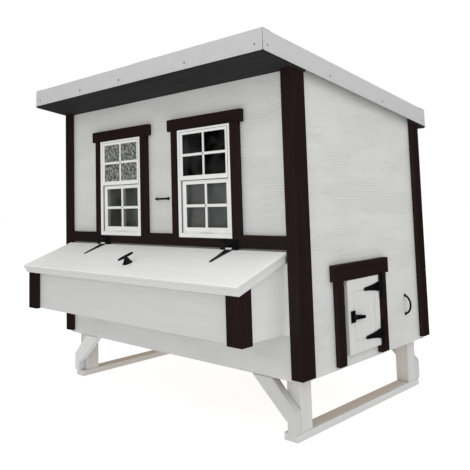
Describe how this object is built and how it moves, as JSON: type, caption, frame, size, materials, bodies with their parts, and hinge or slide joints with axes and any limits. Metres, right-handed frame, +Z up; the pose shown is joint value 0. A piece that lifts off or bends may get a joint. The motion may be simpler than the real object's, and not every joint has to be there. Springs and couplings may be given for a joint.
{
  "type": "chicken coop",
  "caption": "Raised timber chicken coop with a lean-to roof, sliding sash windows, a nest box with a lift-up lid, a pop door and an access door on two leg frames.",
  "frame": {"origin": "centre of the bounding box at ground level", "axes": "+X right along the front, +Y from the front wall to the rear wall, +Z up; the windows and the nest box face -Y"},
  "size_m": [1.5528, 1.24, 1.4195],
  "materials": {
    "siding_white": "light grey-white painted wood siding, embossed grain",
    "lumber_white": "white painted softwood",
    "trim_brown": "very dark brown painted boards",
    "window_vinyl": "white vinyl frames with clear panes",
    "hardware_black": "black powder coat",
    "flashing_white": "white coated sheet metal",
    "roof_timber": "dark stained wood",
    "plywood": "plain plywood",
    "raw_wood": "planed unpainted softwood",
    "shingle": "charcoal mineral-faced bitumen shingles"
  },
  "bodies": {
    "coop": {"leg_frame_left": "lumber_white", "leg_brace_front_left": "lumber_white", "leg_brace_rear_left": "lumber_white", "corner_trim_front_left": "trim_brown", "corner_trim_rear_left": "trim_brown", "window_casing_left": "trim_brown", "window_frame_left": "window_vinyl", "nest_trim_left": "trim_brown", "lid_hinge_leaf_left": "hardware_black", "roof_flashing_left": "flashing_white", "leg_frame_right": "lumber_white", "leg_brace_front_right": "lumber_white", "leg_brace_rear_right": "lumber_white", "corner_trim_front_right": "trim_brown", "corner_trim_rear_right": "trim_brown", "window_casing_right": "trim_brown", "window_frame_right": "window_vinyl", "nest_trim_right": "trim_brown", "lid_hinge_leaf_right": "hardware_black", "roof_flashing_right": "flashing_white", "floor": "raw_wood", "wall_front": "siding_white", "wall_rear": "siding_white", "wall_left": "siding_white", "wall_right": "siding_white", "band_board": "trim_brown", "nest_floor": "siding_white", "nest_front": "siding_white", "nest_side_left": "siding_white", "nest_side_right": "siding_white", "nest_dividers": "raw_wood", "pop_casing": "trim_brown", "pop_hinge_leaf_upper": "hardware_black", "pop_hinge_leaf_lower": "hardware_black", "lid_catch": "hardware_black", "pop_door_catch": "hardware_black", "access_casing": "trim_brown", "access_hinge_leaf_upper": "hardware_black", "access_hinge_leaf_lower": "hardware_black", "roost_rack": "raw_wood", "roof_frame": "roof_timber", "roof_deck": "plywood", "roof_shingles": "shingle", "roof_flashing_front": "flashing_white", "roof_flashing_rear": "flashing_white"},
    "lid": {"nest_lid": "siding_white", "lid_hinge_strap_left": "hardware_black", "lid_hinge_strap_right": "hardware_black"},
    "lid_handle": {"lid_handle": "hardware_black"},
    "pop_door": {"pop_door": "siding_white", "pop_hinge_strap_upper": "hardware_black", "pop_hinge_strap_lower": "hardware_black", "pop_latch_plate": "hardware_black"},
    "pop_latch": {"pop_latch_lever": "hardware_black"},
    "sash_left": {"window_sash_left": "window_vinyl"},
    "sash_right": {"window_sash_right": "window_vinyl"},
    "access_door": {"access_door": "siding_white", "access_hinge_strap_upper": "hardware_black", "access_hinge_strap_lower": "hardware_black"},
    "access_handle": {"access_handle": "hardware_black"}
  },
  "joints": [
    {"name": "lid_hinge", "type": "hinge", "parent": "coop", "child": "lid", "pos_m": [0.0091, -0.3663, 0.65705], "axis": [-1, 0, 0], "range_deg": [0, 95]},
    {"name": "lid_handle_turn", "type": "hinge", "parent": "lid", "child": "lid_handle", "pos_m": [0.0006, -0.52335, 0.59737], "axis": [0, -0.3312, 0.9436], "range_deg": [0, 90]},
    {"name": "pop_door_hinge", "type": "hinge", "parent": "coop", "child": "pop_door", "pos_m": [0.7634, 0.1545, 0.389], "axis": [0, 0, 1], "range_deg": [0, 170]},
    {"name": "pop_latch_turn", "type": "hinge", "parent": "pop_door", "child": "pop_latch", "pos_m": [0.7684, -0.042, 0.388], "axis": [1, 0, 0], "range_deg": [0, 90]},
    {"name": "sash_left_slide", "type": "slide", "parent": "coop", "child": "sash_left", "axis": [0, 0, 1], "range_m": [0, 0.185]},
    {"name": "sash_right_slide", "type": "slide", "parent": "coop", "child": "sash_right", "axis": [0, 0, 1], "range_m": [0, 0.185]},
    {"name": "access_door_hinge", "type": "hinge", "parent": "coop", "child": "access_door", "pos_m": [-0.7452, 0.2295, 0.651], "axis": [0, 0, -1], "range_deg": [0, 170]},
    {"name": "access_handle_turn", "type": "hinge", "parent": "access_door", "child": "access_handle", "pos_m": [-0.7409, -0.162, 0.656], "axis": [-1, 0, 0], "range_deg": [0, 90]}
  ]
}
